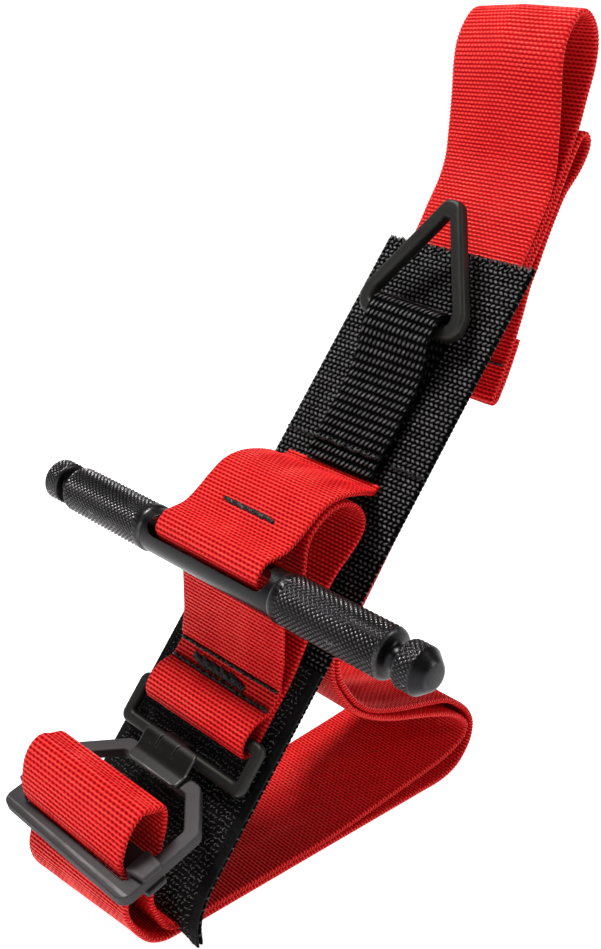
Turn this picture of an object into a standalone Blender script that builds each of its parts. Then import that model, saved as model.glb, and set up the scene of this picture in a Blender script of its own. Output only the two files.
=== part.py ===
"""Windlass tourniquet, standing on the flat lower run of its strap.

Shapes are laid out in the backing's own coordinates: x across the webbing, y along the
backing from its lower end, z off its front face. The whole object then leans back on the
strap's flat run, with the world's origin on the ground under the middle of that run.
"""
import math

import bmesh
import bpy
from mathutils import Matrix, Vector

MM = 0.001

# Stance
LEAN = math.radians(54.2)        # backing above the ground
LIFT = 0.0039                    # backing's y = z = 0 line above the ground
FOOT_Y = 0.055                   # from that line to the middle of the flat run

# Webbing widths and thicknesses
STRAP_WIDTH = 0.0381
STRAP_THICK = 0.0015
BAND_THICK = 0.0012
BACKING_WIDTH = 0.0500
BACKING_THICK = 0.0015
BACKING_TOP = -0.0005            # backing's front face
PANEL_WIDTH = 0.0508
PANEL_THICK = 0.0008
HOLDER_WIDTH = 0.0242
GAP = 0.0003                     # between pieces that touch

# Windlass
WINDLASS_AT = (0.0853, 0.0255)   # y, z of its centre
WINDLASS_TILT = math.radians(11.0)
WINDLASS_LENGTH = 0.1397
GRIP_RADIUS = 0.00635
CORE_RADIUS = 0.0059
NECK_RADIUS = 0.0030
KNOB_RADIUS = 0.0058
SLOT_LENGTH = 0.0440
SLOT_HEIGHT = 0.0063

# Rings and buckle
TRI_BAR_AT = (0.1650, 0.0037)
TRI_TILT = math.radians(12.0)
TRI_YAW = math.radians(-3.0)     # ring a little askew in its holder
TRI_BAR = 0.0040
TRI_THICK = 0.0043
TRI_SHIFT = -0.0008
LINK_AT = (0.0495, 0.0038)       # link ring's upper bar, in the band's loop
LINK_PITCH = 0.0109              # between the ring's two long bars
LINK_WIDTH = 0.0478
LINK_BAR = 0.0033
LINK_THICK = 0.0026
BUCKLE_DROP = math.radians(36.4)  # frame's plane off the backing
FRAME_THICK = 0.0030
FRAME_BAR = 0.0040
FRAME_TOP = -0.0049              # frame's upper edge, from the hook's pivot
FRAME_LENGTH = 0.0340
FRAME_MID_Z = -0.0007
SLIDER_AT = -0.0296              # slider's middle, from the hook's pivot
SLIDER_LENGTH = 0.0068
HOOK_WIDTH = 0.0192
HOOK_THICK = 0.0010
HOOK_EDGE = (0.0406, 0.0079)      # the plate's upper edge, where its lip turns in
LIP_WIDTH = 0.0080
THREAD_RADIUS = 0.00035


# ---------------------------------------------------------------- collections, materials

def clear_scene():
    for obj in list(bpy.data.objects):
        bpy.data.objects.remove(obj, do_unlink=True)


def new_collection(name):
    collection = bpy.data.collections.new(name)
    bpy.context.scene.collection.children.link(collection)
    return collection


def new_material(name, color, roughness, metallic):
    material = bpy.data.materials.new(name)
    material.use_nodes = True
    shader = material.node_tree.nodes["Principled BSDF"]
    shader.inputs["Base Color"].default_value = (*color, 1.0)
    shader.inputs["Roughness"].default_value = roughness
    shader.inputs["Metallic"].default_value = metallic
    material.diffuse_color = (*color, 1.0)
    return material


# ---------------------------------------------------------------- paths

def mm(points):
    return [(y * MM, z * MM) for y, z in points]


def on_backing(points):
    """World (y, z) of points given along and off the backing."""
    cos, sin = math.cos(LEAN), math.sin(LEAN)
    return [(cos * y - sin * z - FOOT_Y, sin * y + cos * z + LIFT) for y, z in points]


def on_ground(points):
    """World (y, z) of points given from the backing's lower end and above the ground."""
    return [(y - FOOT_Y, z) for y, z in points]


def smooth(points, steps=4):
    """Centripetal Catmull-Rom curve through the points, which straight runs stay on."""
    knots = [Vector(p) for p in points]
    knots = [2 * knots[0] - knots[1]] + knots + [2 * knots[-1] - knots[-2]]
    path = []
    for p0, p1, p2, p3 in zip(knots, knots[1:], knots[2:], knots[3:]):
        t1 = (p1 - p0).length ** 0.5
        t2 = t1 + (p2 - p1).length ** 0.5
        t3 = t2 + (p3 - p2).length ** 0.5
        for step in range(steps):
            t = t1 + (t2 - t1) * step / steps
            a1 = p0 * (t1 - t) / t1 + p1 * t / t1
            a2 = p1 * (t2 - t) / (t2 - t1) + p2 * (t - t1) / (t2 - t1)
            a3 = p2 * (t3 - t) / (t3 - t2) + p3 * (t - t2) / (t3 - t2)
            b1 = a1 * (t2 - t) / t2 + a2 * t / t2
            b2 = a2 * (t3 - t) / (t3 - t1) + a3 * (t - t1) / (t3 - t1)
            path.append(tuple(b1 * (t2 - t) / (t2 - t1) + b2 * (t - t1) / (t2 - t1)))
    path.append(tuple(knots[-2]))
    return path


def normal_at(path, index):
    """Unit normal of a path, to the left of its direction."""
    before = Vector(path[max(index - 1, 0)])
    after = Vector(path[min(index + 1, len(path) - 1)])
    along = (after - before).normalized()
    return Vector((-along.y, along.x))


def arc(centre, radius, start, end, steps):
    """Points of an arc in degrees, its ends included."""
    angles = [math.radians(start + (end - start) * i / steps) for i in range(steps + 1)]
    return [(centre[0] + radius * math.cos(a), centre[1] + radius * math.sin(a)) for a in angles]


def rounded(corners, radii, steps=4):
    """Closed outline through the corners, each one turned by an arc of its radius."""
    outline = []
    count = len(corners)
    for i in range(count):
        radius = radii[i] if isinstance(radii, list) else radii
        here = Vector(corners[i])
        back = (Vector(corners[i - 1]) - here).normalized()
        ahead = (Vector(corners[(i + 1) % count]) - here).normalized()
        half = back.angle(ahead) / 2
        centre = here + (back + ahead).normalized() * (radius / math.sin(half))
        first = here + back * (radius / math.tan(half)) - centre
        last = here + ahead * (radius / math.tan(half)) - centre
        turn = first.angle_signed(last)
        for step in range(steps + 1):
            spoke = Matrix.Rotation(-turn * step / steps, 2) @ first
            outline.append(tuple(centre + spoke))
    return outline


# ---------------------------------------------------------------- builders

def add_object(name, data, material, parts, parent=None, location=(0, 0, 0), rotation=(0, 0, 0)):
    obj = bpy.data.objects.new(name, data)
    parts.objects.link(obj)
    obj.parent = parent
    obj.location = location
    obj.rotation_euler = rotation
    if material is not None:
        obj.data.materials.append(material)
    return obj


def add_empty(name, parts, parent, location, rotation):
    empty = bpy.data.objects.new(name, None)
    parts.objects.link(empty)
    empty.parent = parent
    empty.location = location
    empty.rotation_euler = rotation
    empty.empty_display_size = 0.01
    return empty


def webbing(name, path, width, thickness, material, parts, pivot=(0.0, 0.0)):
    """A band of webbing: a ribbon along a world (y, z) path, width across x."""
    curve = bpy.data.curves.new(name, "CURVE")
    curve.dimensions = "2D"
    curve.fill_mode = "NONE"
    curve.extrude = width / 2
    spline = curve.splines.new("POLY")
    spline.points.add(len(path) - 1)
    for point, (y, z) in zip(spline.points, path):
        point.co = (y - pivot[0], z - pivot[1], 0, 1)
    quarter = math.pi / 2
    obj = add_object(name, curve, material, parts, location=(0, *pivot), rotation=(quarter, 0, quarter))
    solid = obj.modifiers.new("thickness", "SOLIDIFY")
    solid.thickness = thickness
    solid.offset = 0.0
    solid.use_even_offset = True
    return obj


def outset(outline, distance):
    """The outline moved sideways, outwards where the distance is positive."""
    moved = []
    for before, here, after in zip(outline[-1:] + outline[:-1], outline, outline[1:] + outline[:1]):
        first = (Vector(here) - Vector(before)).normalized()
        second = (Vector(after) - Vector(here)).normalized()
        along = (first + second).normalized()
        push = distance / max(along.dot(first), 0.5)
        moved.append((here[0] + along.y * push, here[1] - along.x * push))
    return moved


def outline_mesh(name, outlines, thickness, edge=0.0):
    """Flat plate of counter-clockwise outlines: the first is its rim, the others holes.

    Its edges are rounded by the edge radius."""
    curve = bpy.data.curves.new(name, "CURVE")
    curve.dimensions = "2D"
    curve.fill_mode = "BOTH"
    curve.extrude = thickness / 2 - edge
    curve.bevel_depth = edge
    curve.bevel_resolution = 1
    for number, outline in enumerate(outlines):
        face = outset(outline, edge) if number else outset(outline, -edge)[::-1]
        spline = curve.splines.new("POLY")
        spline.points.add(len(face) - 1)
        spline.use_cyclic_u = True
        for point, (x, y) in zip(spline.points, face):
            point.co = (x, y, 0, 1)
    source = bpy.data.objects.new(name, curve)
    bpy.context.scene.collection.objects.link(source)
    depsgraph = bpy.context.evaluated_depsgraph_get()
    mesh = bpy.data.meshes.new_from_object(source.evaluated_get(depsgraph))
    bpy.data.objects.remove(source)
    welded = bmesh.new()
    welded.from_mesh(mesh)
    bmesh.ops.remove_doubles(welded, verts=welded.verts, dist=0.00001)
    bmesh.ops.recalc_face_normals(welded, faces=welded.faces)
    welded.to_mesh(mesh)
    welded.free()
    mesh.name = name
    return mesh


def plate(name, outlines, thickness, edge, material, parts, parent, location=(0, 0, 0), rotation=(0, 0, 0)):
    """A plate or ring of bar stock with rounded edges."""
    mesh = outline_mesh(name, outlines, thickness, edge)
    obj = add_object(name, mesh, material, parts, parent, location, rotation)
    mesh.shade_smooth()
    mesh.set_sharp_from_angle(angle=math.radians(35))
    return obj


def thread(name, points, material, parts, pivot=(0.0, 0.0, 0.0)):
    """A run of sewing thread through world points."""
    curve = bpy.data.curves.new(name, "CURVE")
    curve.dimensions = "3D"
    curve.bevel_depth = THREAD_RADIUS
    curve.bevel_resolution = 1
    curve.use_fill_caps = True
    spline = curve.splines.new("POLY")
    spline.points.add(len(points) - 1)
    for point, place in zip(spline.points, points):
        point.co = (*(Vector(place) - Vector(pivot)), 1)
    return add_object(name, curve, material, parts, location=pivot)


def stitch_row(path, index, half_width, stitch, lift, wave=0.0, side=-1, x0=0.0):
    """Thread points across a webbing path, on one of its faces, in short stitches."""
    centre = Vector(path[index])
    normal = normal_at(path, index) * side
    along = Vector((normal.y, -normal.x))
    count = max(2, round(2 * half_width / stitch))
    points = []
    for i in range(count + 1):
        x = x0 - half_width + 2 * half_width * i / count
        place = centre + normal * lift + along * (wave if i % 2 else -wave)
        points.append((x, *place))
    return points


def nearest(path, point):
    """Index of the path's point closest to a given one."""
    distances = [(Vector(p) - Vector(point)).length for p in path]
    return distances.index(min(distances))


# ---------------------------------------------------------------- backing

def backing_path():
    return smooth(on_backing(mm([
        (188.5, -1.25), (150, -1.25), (100, -1.25), (50, -1.25), (18, -1.25), (11, -1.35),
        (6.6, -2.3), (3.7, -4.4)])), 3)


def build_backing(parts, looks):
    webbing("backing_webbing", backing_path(), BACKING_WIDTH, BACKING_THICK, looks["black_webbing"], parts)
    panel = smooth(on_backing(mm([
        (73, 0.2), (50, 0.2), (18, 0.2), (10.6, 0.1), (6.0, -0.9), (2.9, -3.1)])), 3)
    webbing("loop_panel", panel, PANEL_WIDTH, PANEL_THICK, looks["loop_pile"], parts)


# ---------------------------------------------------------------- strap, in five lengths

def top_loop_path():
    """Up from under the backing, over the top loop and down behind the backing."""
    front = [(130, -3.05), (160, -3.05), (186, -3.05), (195, -2.3), (200.5, -1.35), (208.7, 0.1),
             (214.5, 2.7), (220, 7.3), (227.3, 14.2), (233.3, 20.2)]
    crown = [(237.7, 23.3), (242.3, 24.5), (246.6, 24.1), (248.9, 22.3), (249.7, 19.2), (248.9, 15.2)]
    rear = [(246.4, 11.7), (241.8, 8.6), (235.5, 6.0), (228.5, 3.1), (220, 0.6), (214, -0.7),
            (208, -2.1), (200.5, -3.6), (195, -4.3), (188, -4.95), (175, -5.1), (151, -5.7)]
    return smooth(on_backing(mm(front + crown + rear)), 3)


def inner_run_path():
    """Down behind the backing, round the limb loop's inside and up to the buckle."""
    rear = [(150.6, -5.71), (120, -7.0), (93, -8.3), (84.5, -8.3)]
    loop = [(53.5, 60.2), (54.5, 53.6), (58.2, 47.4), (62.6, 42.2), (67.5, 38.3), (72.9, 35.3),
            (81.2, 31.8), (89.4, 29.2), (98, 26.4), (106.3, 23.2), (112.4, 19.6), (115.4, 16.0),
            (115.0, 13.0), (112.0, 10.6), (106.3, 8.6), (98.2, 7.3), (90, 6.3), (82, 5.4),
            (66, 3.6), (54, 2.7), (44, 2.55), (20, 2.55), (10, 2.55), (4.6, 2.7), (1.2, 4.4),
            (-0.6, 7.2), (-2.9, 11.6), (-4.0, 15.0)]
    return smooth(on_backing(mm(rear)) + on_ground(mm(loop)), 3)


def buckle_turn_path():
    """Up through the frame, over the slider bar and down through the frame again."""
    turn = [(10.0, 11.9), (14.5, 13.9), (20.1, 16.65), (23.9, 18.5), (27.2, 21.1), (27.8, 22.9),
            (26.4, 25.2), (25.3, 27.6), (22.9, 28.85), (19.4, 28.95), (15.6, 27.7), (12.9, 26.2),
            (11.3, 23.7), (9.4, 21.2), (7.0, 18.7)]
    return smooth(on_backing(mm(turn)), 3)


def outer_run_path():
    """Down from the buckle, flat along the ground, round the limb loop and up the rear."""
    loop = [(-11.4, 19.0), (-11.3, 14.8), (-9.4, 10.4), (-6.9, 6.6), (-3.6, 3.1), (0.6, 1.2),
            (6.0, 0.75), (14.0, 0.75), (22.0, 0.75), (60, 0.75), (92, 0.75), (98, 0.75),
            (104, 0.75), (109.0, 1.6), (113.4, 3.7), (116.6, 7.3), (118.2, 11.3), (118.0, 16.2),
            (115.2, 20.9), (110.4, 25.1), (104.4, 28.7), (97.0, 30.9), (88.8, 32.8), (80.8, 34.9),
            (72.9, 37.6), (68.2, 40.2), (63.7, 44.0), (60.0, 48.6), (56.6, 54.0), (55.5, 60.0)]
    rear = [(84.5, -10.3), (93, -10.4), (120, -9.1), (150.6, -7.75)]
    return smooth(on_ground(mm(loop)) + on_backing(mm(rear)), 3)


def tail_path():
    """Up behind the backing, folded over below the top loop, down to a folded hem."""
    rise = [(151, -7.73), (175, -7.0), (188, -6.9), (195, -6.3), (200.5, -5.6), (208, -4.1),
            (214, -2.7), (220, -1.4), (225, -0.6)]
    fold = [(228.0, -0.6), (229.3, -2.0), (228.9, -4.2), (226.6, -5.6), (221, -6.2)]
    drop = [(213.5, -5.4), (207, -6.3), (200.3, -7.7), (193.1, -9.6), (188.4, -10.6),
            (180.6, -13.7), (174, -16.0), (167.4, -18.0), (161.6, -19.4), (158.6, -19.7)]
    hem = [(157.3, -20.6), (158.2, -21.6), (162.2, -21.2), (168, -19.9), (175.5, -17.7)]
    return smooth(on_backing(mm(rise + fold + drop + hem)), 3)


def build_strap(parts, looks, hook_pivot):
    red = looks["red_webbing"]
    webbing("strap_top_loop", top_loop_path(), STRAP_WIDTH, STRAP_THICK, red, parts)
    webbing("strap_inner_run", inner_run_path(), STRAP_WIDTH, STRAP_THICK, red, parts)
    webbing("strap_buckle_turn", buckle_turn_path(), STRAP_WIDTH, STRAP_THICK, red, parts, hook_pivot)
    webbing("strap_outer_run", outer_run_path(), STRAP_WIDTH, STRAP_THICK, red, parts)
    webbing("strap_tail", tail_path(), STRAP_WIDTH, STRAP_THICK, red, parts)


# ---------------------------------------------------------------- windlass and its band

def windlass_profile():
    """(radius, height) down one side of the turned bar, from end to end."""
    end = WINDLASS_LENGTH / 2
    half = [(0.0, end), (0.0030, end), (KNOB_RADIUS - 0.0004, end - 0.0028),
            (KNOB_RADIUS, end - 0.0034), (KNOB_RADIUS, end - 0.0074),
            (KNOB_RADIUS - 0.0009, end - 0.0083), (NECK_RADIUS, end - 0.0083),
            (NECK_RADIUS, end - 0.0113), (GRIP_RADIUS - 0.0009, end - 0.0120),
            (GRIP_RADIUS, end - 0.0129), (GRIP_RADIUS, 0.0246), (CORE_RADIUS, 0.0237)]
    return half + [(radius, -height) for radius, height in reversed(half)]


def build_windlass(parts, cutters, looks, lean):
    pivot = add_empty("windlass_pivot", parts, lean, (0, *WINDLASS_AT), (-WINDLASS_TILT, 0, 0))
    mesh = bpy.data.meshes.new("windlass_bar")
    points = [(radius, 0, height) for radius, height in windlass_profile()]
    mesh.from_pydata(points, [(i, i + 1) for i in range(len(points) - 1)], [])
    bar = add_object("windlass_bar", mesh, looks["gunmetal"], parts, pivot, rotation=(0, math.pi / 2, 0))
    turn = bar.modifiers.new("turn", "SCREW")
    turn.steps = 24
    turn.render_steps = 24
    turn.use_merge_vertices = True
    turn.merge_threshold = 0.00001
    turn.use_smooth_shade = True
    half_x, half_y = SLOT_LENGTH / 2, SLOT_HEIGHT / 2
    corners = [(-half_x, -half_y), (half_x, -half_y), (half_x, half_y), (-half_x, half_y)]
    slot = outline_mesh("windlass_slot", [rounded(corners, half_y * 0.98, 5)], 0.03)
    cutter = add_object("windlass_slot", slot, None, cutters, pivot)
    cutter.hide_render = True
    cutter.display_type = "WIRE"
    cut = bar.modifiers.new("slot", "BOOLEAN")
    cut.operation = "DIFFERENCE"
    cut.object = cutter
    return pivot


def band_path():
    """Flap from the backing over the windlass, down its slot, round the link ring, back
    up the backing and over in a teardrop fold to its end under the flap."""
    flap = [(121.4, 0.4), (119.6, 1.3), (118.5, 4.0), (117.9, 7.6), (115.9, 13.0), (113.1, 17.8),
            (109.2, 21.4), (104.5, 23.2), (99.5, 24.6), (95.0, 26.4), (92.0, 29.2)]
    slot = [(90.3, 30.8), (88.0, 31.4), (85.9, 31.0), (84.8, 29.6), (84.3, 27.8), (83.9, 25.5),
            (83.4, 22.5), (82.6, 19.2)]
    front = [(80.9, 16.3), (78.0, 13.4), (74.2, 9.8), (70.4, 6.0), (67.3, 3.8), (64.2, 3.1),
             (61.0, 3.1), (58.0, 3.3), (55.4, 4.7), (53.0, 6.0), (50.4, 6.5)]
    loop = [(47.6, 6.0), (46.2, 3.9), (47.6, 1.9), (50.4, 1.5), (55, 1.5), (60.0, 1.5), (67, 1.5)]
    back = [(75.5, 2.8), (85, 4.8), (93, 5.9), (97.1, 5.6), (102, 4.6), (106.5, 4.0)]
    fold = [(109.9, 4.5), (112.2, 6.6), (113.2, 10.1), (112.7, 13.7), (111.0, 16.8),
            (108.2, 19.1), (104.6, 20.5), (100.6, 21.0), (96.5, 19.4), (92.4, 16.6)]
    return smooth(on_backing(mm(flap + slot + front + loop + back + fold)), 3)


def build_band(parts, looks):
    path = band_path()
    webbing("windlass_band", path, STRAP_WIDTH, BAND_THICK, looks["red_webbing"], parts)
    lift = BAND_THICK / 2 + GAP + THREAD_RADIUS
    black = looks["black_thread"]
    half = STRAP_WIDTH / 2 - 0.0005
    lower = nearest(path, on_backing([(0.0582, 0.0032)])[0])
    upper = nearest(path, on_backing([(0.0642, 0.0030)])[0])
    middle = nearest(path, on_backing([(0.0610, 0.0030)])[0])
    tack = nearest(path, on_backing([(0.1000, 0.0250)])[0])
    thread("loop_stitch_lower", stitch_row(path, lower, half, 0.0020, lift), black, parts)
    thread("loop_stitch_upper", stitch_row(path, upper, half, 0.0020, lift), black, parts)
    thread("loop_tack", stitch_row(path, middle, 0.0090, 0.0012, lift, 0.0010), black, parts)
    thread("flap_tack", stitch_row(path, tack, 0.0095, 0.0008, lift, 0.0005, x0=0.0015), black, parts)


# ---------------------------------------------------------------- triangular ring and holder

def holder_path():
    """Up over the ring's lower bar and back down behind it, doubled."""
    y, z = TRI_BAR_AT[0] / MM, TRI_BAR_AT[1] / MM
    front = [(121.8, 1.9), (130, 1.9), (140, 1.9), (149.5, 2.4), (155.8, 4.6), (160.2, 7.0)]
    wrap = arc((y + 0.4, z + 0.45), 3.8, 108, -84, 6)
    rear = [(158, 0.4), (145, 0.4), (125.3, 0.4)]
    return smooth(on_backing(mm(front + wrap + rear)), 3)


def build_holder(parts, looks):
    path = holder_path()
    webbing("ring_holder", path, HOLDER_WIDTH, BAND_THICK, looks["black_webbing"], parts)
    row = nearest(path, on_backing([(0.1275, 0.0019)])[0])
    lift = BAND_THICK / 2 + GAP + THREAD_RADIUS
    points = stitch_row(path, row, HOLDER_WIDTH / 2 - 0.0008, 0.0022, lift, side=1)
    thread("holder_stitch", points, looks["black_thread"], parts)


def build_tri_ring(parts, looks, lean):
    pivot = add_empty("tri_ring_pivot", parts, lean, (TRI_SHIFT, *TRI_BAR_AT), (TRI_TILT, 0, TRI_YAW))
    low, high, side, tip, shoulder = -TRI_BAR / 2, 0.0335, 0.0180, 0.0024, 0.0055
    outer = [(-side, low), (side, low), (side, shoulder), (tip, high), (-tip, high),
             (-side, shoulder)]
    in_side, in_high, in_tip = 0.0138, 0.0283, 0.0009
    inner = [(-in_side, -low), (in_side, -low), (in_side, shoulder), (in_tip, in_high),
             (-in_tip, in_high), (-in_side, shoulder)]
    outlines = [rounded(outer, [0.0048, 0.0048, 0.0060, 0.0032, 0.0032, 0.0060]),
                rounded(inner, [0.0010, 0.0010, 0.0020, 0.0005, 0.0005, 0.0020], 3)]
    plate("tri_ring", outlines, TRI_THICK, 0.0010, looks["ring_black"], parts, pivot)


# ---------------------------------------------------------------- link ring, hook and buckle

def build_link_ring(parts, looks, lean):
    pivot = add_empty("link_ring_pivot", parts, lean, (0, *LINK_AT), (0, 0, 0))
    half_x = LINK_WIDTH / 2
    high = LINK_BAR / 2
    low = -LINK_PITCH - LINK_BAR / 2
    outer = [(-half_x, low), (half_x, low), (half_x, high), (-half_x, high)]
    in_x = half_x - LINK_BAR
    inner = [(-in_x, low + LINK_BAR), (in_x, low + LINK_BAR), (in_x, high - LINK_BAR),
             (-in_x, high - LINK_BAR)]
    outlines = [rounded(outer, 0.0026), rounded(inner, 0.0008, 2)]
    plate("link_ring", outlines, LINK_THICK, 0.0008, looks["ring_black"], parts, pivot)


def build_hook(parts, looks, hook_pivot):
    """A bent plate over the frame's upper bar, its narrower lip behind the ring's bar."""
    path = smooth(on_backing(mm([
        (31.6, 10.8), (32.4, 10.3), (34.0, 9.3), (35.8, 8.9), (38.0, 8.9), (39.4, 8.7),
        (40.4, 8.1), (41.0, 7.0), (41.0, 4.4), (40.8, 3.2)])), 3)
    lip = nearest(path, on_backing([HOOK_EDGE])[0])
    across = [-HOOK_WIDTH / 2, -LIP_WIDTH / 2, LIP_WIDTH / 2, HOOK_WIDTH / 2]
    verts = [(x, y - hook_pivot[0], z - hook_pivot[1]) for y, z in path for x in across]
    faces = []
    for row in range(len(path) - 1):
        columns = range(3) if row < lip else [1]
        for column in columns:
            here = 4 * row + column
            faces.append((here, here + 1, here + 5, here + 4))
    mesh = bpy.data.meshes.new("hook_plate")
    mesh.from_pydata(verts, [], faces)
    loose = bmesh.new()
    loose.from_mesh(mesh)
    bmesh.ops.delete(loose, geom=[v for v in loose.verts if not v.link_faces], context="VERTS")
    loose.to_mesh(mesh)
    loose.free()
    obj = add_object("hook_plate", mesh, looks["steel_grey"], parts, location=(0, *hook_pivot))
    solid = obj.modifiers.new("thickness", "SOLIDIFY")
    solid.thickness = HOOK_THICK
    solid.offset = 0.0
    solid.use_even_offset = True


def build_frame(parts, looks, buckle):
    high, low = FRAME_TOP, FRAME_TOP - FRAME_LENGTH
    outer = [(-0.0252, low), (0.0252, low), (0.0248, high - 0.0100), (0.0137, high),
             (-0.0137, high), (-0.0248, high - 0.0100)]
    inner = [(-0.0212, low + FRAME_BAR), (0.0212, low + FRAME_BAR), (0.0208, high - 0.0117),
             (0.0122, high - FRAME_BAR), (-0.0122, high - FRAME_BAR), (-0.0208, high - 0.0117)]
    outlines = [rounded(outer, 0.0025), rounded(inner, 0.0015, 3)]
    plate("buckle_frame", outlines, FRAME_THICK, 0.0006, looks["steel_grey"], parts, buckle,
          location=(0, 0, FRAME_MID_Z))


def build_slider(parts, looks, buckle):
    """A flat bar whose ends fork above and below the frame's rails."""
    web, tip = 0.0194, 0.0258
    bar, mouth, jaw = 0.0010, 0.0018, 0.0038
    right = [(web, -bar), (web, -jaw), (tip, -jaw), (tip, -mouth), (web + 0.0011, -mouth),
             (web + 0.0011, mouth), (tip, mouth), (tip, jaw), (web, jaw), (web, bar)]
    left = [(-x, z) for x, z in reversed(right)]
    plate("slider_bar", [right + left], SLIDER_LENGTH, 0.0004, looks["steel_grey"], parts, buckle,
          location=(0, SLIDER_AT, FRAME_MID_Z), rotation=(math.pi / 2, 0, 0))


# ---------------------------------------------------------------- remaining stitching

def build_stitching(parts, looks):
    black = looks["black_thread"]
    tail = tail_path()
    lift = STRAP_THICK / 2 + GAP + THREAD_RADIUS
    half = STRAP_WIDTH / 2 - 0.0008
    row = nearest(tail, on_backing([(0.1674, -0.0180)])[0])
    thread("hem_stitch", stitch_row(tail, row, half, 0.0024, lift), black, parts)
    backing = backing_path()
    row = on_backing([(0.1275, BACKING_TOP)])[0]
    place = Vector(row) + Vector((-math.sin(LEAN), math.cos(LEAN))) * (GAP + THREAD_RADIUS)
    for name, start in (("backing_stitch_left", -0.0246), ("backing_stitch_right", 0.0136)):
        points = [(start + 0.0022 * i, *place) for i in range(6)]
        thread(name, points, black, parts)


def main():
    clear_scene()
    parts = new_collection("tourniquet")
    cutters = new_collection("tourniquet_cutters")
    looks = {
        "black_webbing": new_material("black_webbing", (0.020, 0.020, 0.024), 0.7, 0.0),
        "loop_pile": new_material("loop_pile", (0.012, 0.012, 0.014), 0.9, 0.0),
        "red_webbing": new_material("red_webbing", (0.72, 0.012, 0.018), 0.6, 0.0),
        "gunmetal": new_material("gunmetal", (0.075, 0.070, 0.075), 0.4, 0.9),
        "ring_black": new_material("ring_black", (0.030, 0.030, 0.028), 0.45, 0.6),
        "steel_grey": new_material("steel_grey", (0.22, 0.21, 0.22), 0.35, 0.9),
        "black_thread": new_material("black_thread", (0.010, 0.010, 0.012), 0.6, 0.0),
    }
    lean = add_empty("lean", parts, None, (0, -FOOT_Y, LIFT), (LEAN, 0, 0))
    hook_at = (LINK_AT[0] - LINK_PITCH, LINK_AT[1])
    hook_pivot = on_backing([hook_at])[0]
    buckle = add_empty("buckle_pivot", parts, lean, (0, *hook_at), (-BUCKLE_DROP, 0, 0))
    build_backing(parts, looks)
    build_strap(parts, looks, hook_pivot)
    build_windlass(parts, cutters, looks, lean)
    build_band(parts, looks)
    build_holder(parts, looks)
    build_tri_ring(parts, looks, lean)
    build_link_ring(parts, looks, lean)
    build_hook(parts, looks, hook_pivot)
    build_frame(parts, looks, buckle)
    build_slider(parts, looks, buckle)
    build_stitching(parts, looks)


main()
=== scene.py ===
"""Looks of the windlass tourniquet: webbing, rings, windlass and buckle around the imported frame.

Profiles are given along and off the backing, or along and above the ground, in millimetres,
as the CAD's are. Every band of webbing is a closed ribbon with its weave in relief.
"""
import math

import bmesh
import bpy
import numpy as np
from mathutils import Matrix, Vector


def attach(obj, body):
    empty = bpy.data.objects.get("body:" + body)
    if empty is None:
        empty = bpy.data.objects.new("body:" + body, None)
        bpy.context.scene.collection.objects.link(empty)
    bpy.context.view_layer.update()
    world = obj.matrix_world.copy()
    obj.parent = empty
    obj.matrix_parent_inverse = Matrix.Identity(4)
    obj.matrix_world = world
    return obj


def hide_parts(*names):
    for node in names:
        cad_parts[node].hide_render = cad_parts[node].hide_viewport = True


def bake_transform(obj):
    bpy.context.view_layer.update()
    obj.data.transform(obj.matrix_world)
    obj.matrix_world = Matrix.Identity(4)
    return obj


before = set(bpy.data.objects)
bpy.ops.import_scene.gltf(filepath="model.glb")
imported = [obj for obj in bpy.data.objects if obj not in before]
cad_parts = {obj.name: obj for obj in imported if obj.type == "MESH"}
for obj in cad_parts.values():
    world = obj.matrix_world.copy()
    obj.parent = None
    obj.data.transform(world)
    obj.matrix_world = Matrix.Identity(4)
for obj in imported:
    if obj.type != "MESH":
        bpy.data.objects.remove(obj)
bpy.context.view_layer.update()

MM = 0.001
LEAN = math.radians(54.2)
LIFT = 3.9
FOOT_Y = 55.0
RIB = 1.05              # red webbing's rib pitch
ROW = 1.30              # black webbing's row pitch
FLOAT = 1.60            # black webbing's yarn pitch across a row
YARN = 1.43             # red webbing's yarn pitch across a rib
HOLDER_ROW = 2.40       # ring holder's row and yarn pitches
HOLDER_FLOAT = 1.50
HOLDER_SLOPE = -0.60    # its floats all lean one way
STRAP_WIDTH = 38.1
HALF_STRAP = STRAP_WIDTH / 2
BACKING_WIDTH = 50.0
PANEL_WIDTH = 50.8
HOLDER_WIDTH = 24.2
WEB = 1.5               # thickness of the strap and the backing
THIN_WEB = 1.2          # thickness of the windlass band and the ring holder
BACKING_Z = -1.25       # the backing's middle in its own frame
rng = np.random.default_rng(11)


# -------- profiles

def backing_at(points):
    """World (y, z) in metres of points along and off the backing."""
    p = np.asarray(points, float)
    cos, sin = math.cos(LEAN), math.sin(LEAN)
    return np.stack([cos * p[:, 0] - sin * p[:, 1] - FOOT_Y, sin * p[:, 0] + cos * p[:, 1] + LIFT], 1) * MM


def ground_at(points):
    """World (y, z) in metres of points along and above the ground."""
    return (np.asarray(points, float) - (FOOT_Y, 0)) * MM


def arc(centre, radius, start, end, steps):
    a = np.radians(np.linspace(start, end, steps + 1))
    return [(centre[0] + radius * math.cos(t), centre[1] + radius * math.sin(t)) for t in a]


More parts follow.
